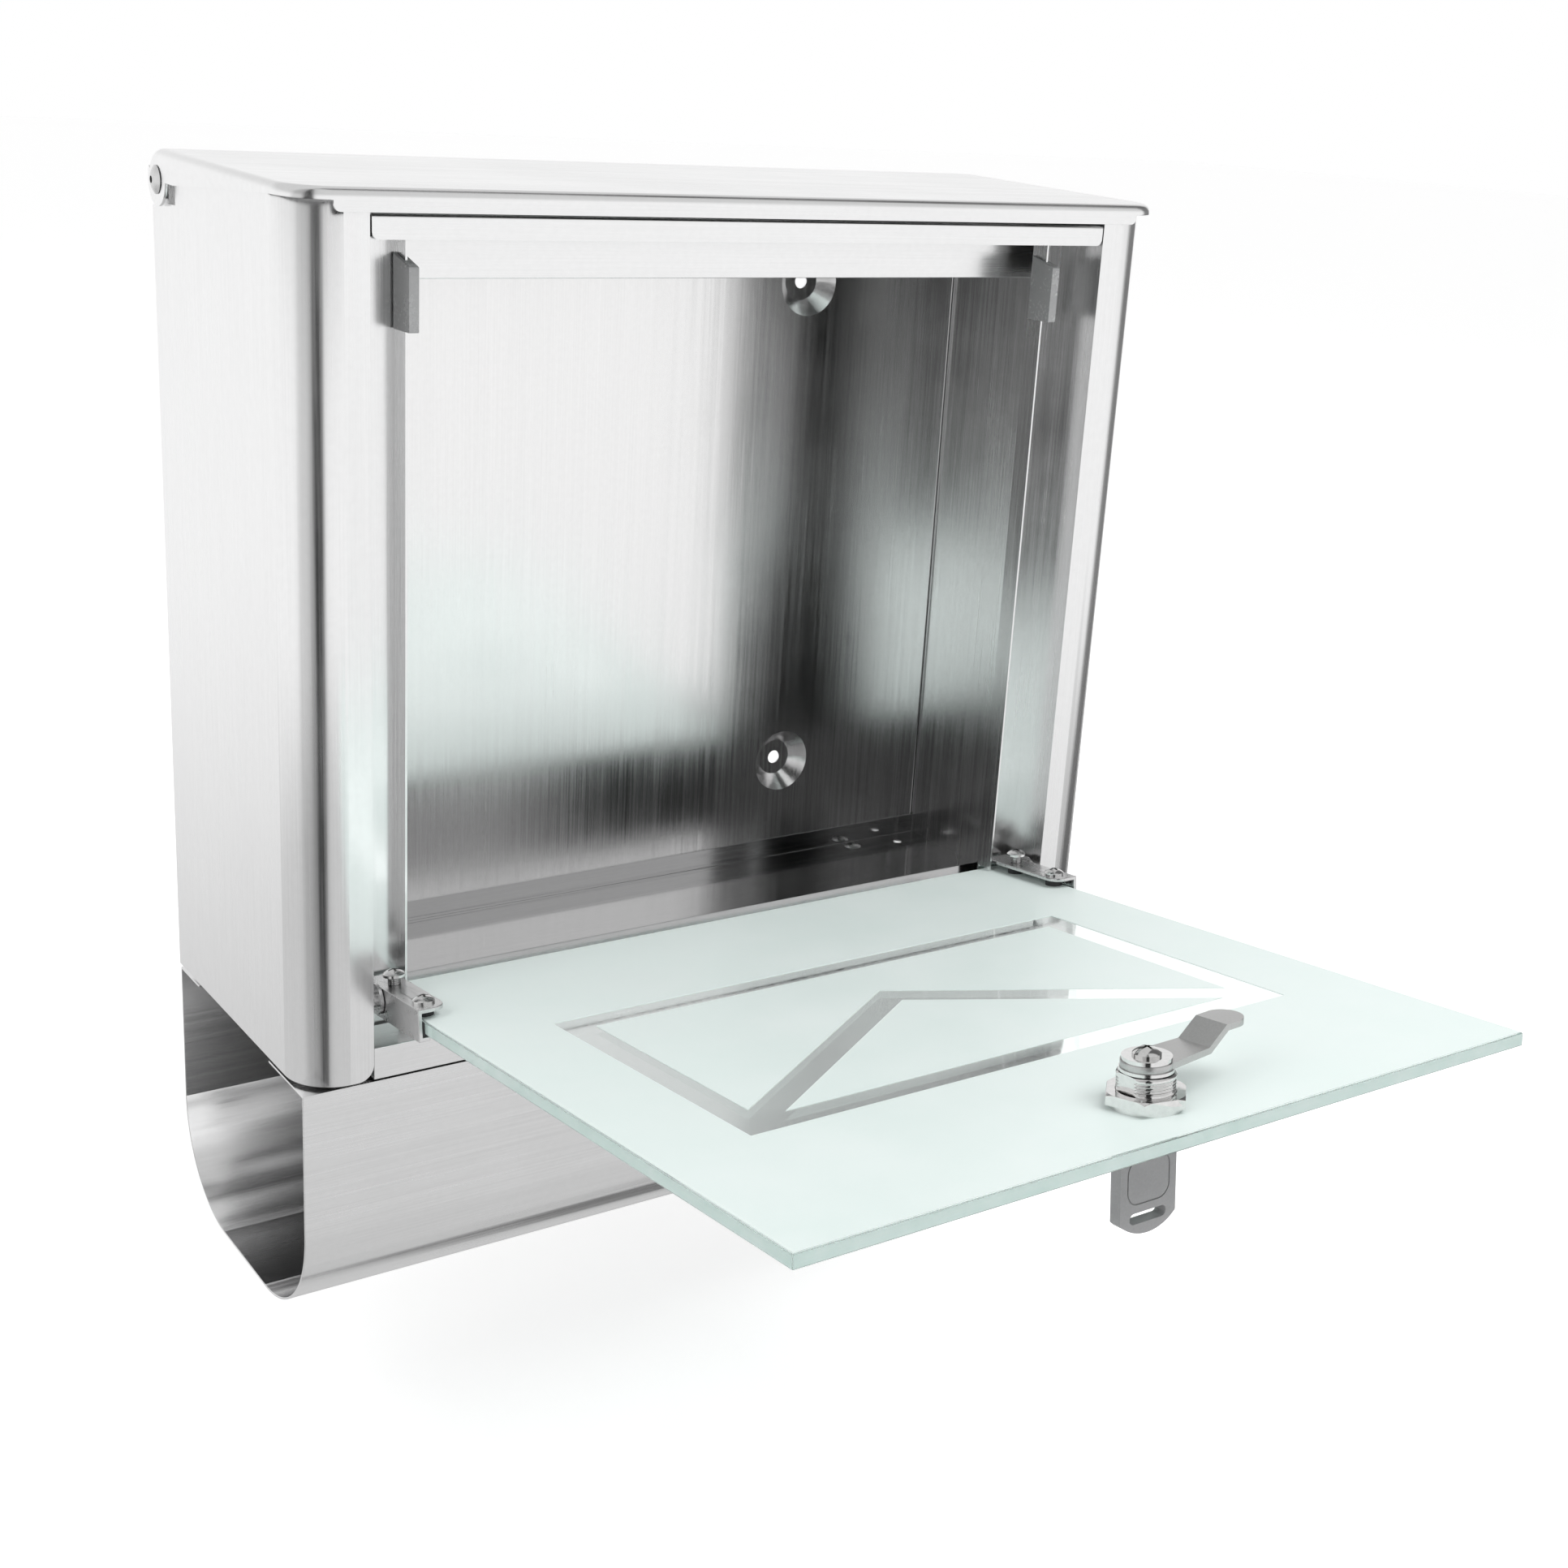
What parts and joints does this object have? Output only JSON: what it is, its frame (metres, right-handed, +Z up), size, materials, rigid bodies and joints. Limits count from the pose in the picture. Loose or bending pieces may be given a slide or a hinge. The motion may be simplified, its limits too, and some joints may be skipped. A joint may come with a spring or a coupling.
{
  "type": "wall mounted mailbox",
  "caption": "Flat steel wall mailbox with a hinged top lid, a fold-down satin glass front door with cam lock and key, and an open newspaper tube underneath.",
  "frame": {"origin": "centre of the four wall screw holes, in the plane of the wall", "axes": "+X across the mailbox to the right seen from the front, +Y into the wall, +Z up"},
  "size_m": [0.3678, 0.3821, 0.412],
  "materials": {
    "brushed_steel": "vertically brushed stainless sheet",
    "polished_steel": "bright",
    "lock_chrome": "bright nickel plate",
    "cam_steel": "satin zinc plate",
    "door_glass": "clear toughened, pale green edge",
    "satin_glass": "satin frosting",
    "clip_plastic": "soft translucent grey",
    "black_rubber": "matt",
    "key_plastic": "fine matt"
  },
  "bodies": {
    "casing": {"side_panel_left": "brushed_steel", "side_panel_right": "brushed_steel", "back_panel": "brushed_steel", "floor_pan": "brushed_steel", "upper_front_rail": "brushed_steel", "slot_baffle": "brushed_steel", "lower_front_rail": "brushed_steel", "edge_clip_left": "clip_plastic", "edge_clip_right": "clip_plastic", "newspaper_holder": "brushed_steel", "holder_spacers": "clip_plastic", "holder_rivets": "polished_steel", "lid_pivot_rivets": "polished_steel", "lid_pivot_washers": "clip_plastic", "door_pivot_pins": "polished_steel"},
    "lid": {"lid": "brushed_steel"},
    "door": {"door_glass": "door_glass", "satin_layer_film": "satin_glass", "hinge_bracket_left": "polished_steel", "hinge_bracket_right": "polished_steel", "bracket_liners": "black_rubber", "clamp_pads": "black_rubber", "clamp_screws": "polished_steel", "lock_gasket": "black_rubber", "lock_housing": "lock_chrome", "lock_washer": "lock_chrome", "lock_nut": "lock_chrome"},
    "lock_cylinder": {"lock_plug": "lock_chrome", "stop_disc": "lock_chrome", "lock_cam": "cam_steel", "cam_washer": "lock_chrome", "cam_screw": "lock_chrome"},
    "key": {"key_blade": "lock_chrome", "key_bow": "key_plastic"}
  },
  "joints": [
    {"name": "lid_hinge", "type": "hinge", "parent": "casing", "child": "lid", "pos_m": [0, -0.011, 0.144], "axis": [-1, 0, 0], "range_deg": [0, 65]},
    {"name": "door_hinge", "type": "hinge", "parent": "casing", "child": "door", "pos_m": [0, -0.1245, -0.1285], "axis": [-1, 0, 0], "range_deg": [0, 83]},
    {"name": "lock_turn", "type": "hinge", "parent": "door", "child": "lock_cylinder", "pos_m": [0, -0.35676, -0.09998], "axis": [0, -0.1219, -0.9925], "range_deg": [0, 96]},
    {"name": "key_pull", "type": "slide", "parent": "lock_cylinder", "child": "key", "axis": [0, -0.1219, -0.9925], "range_m": [0, 0.028]}
  ]
}
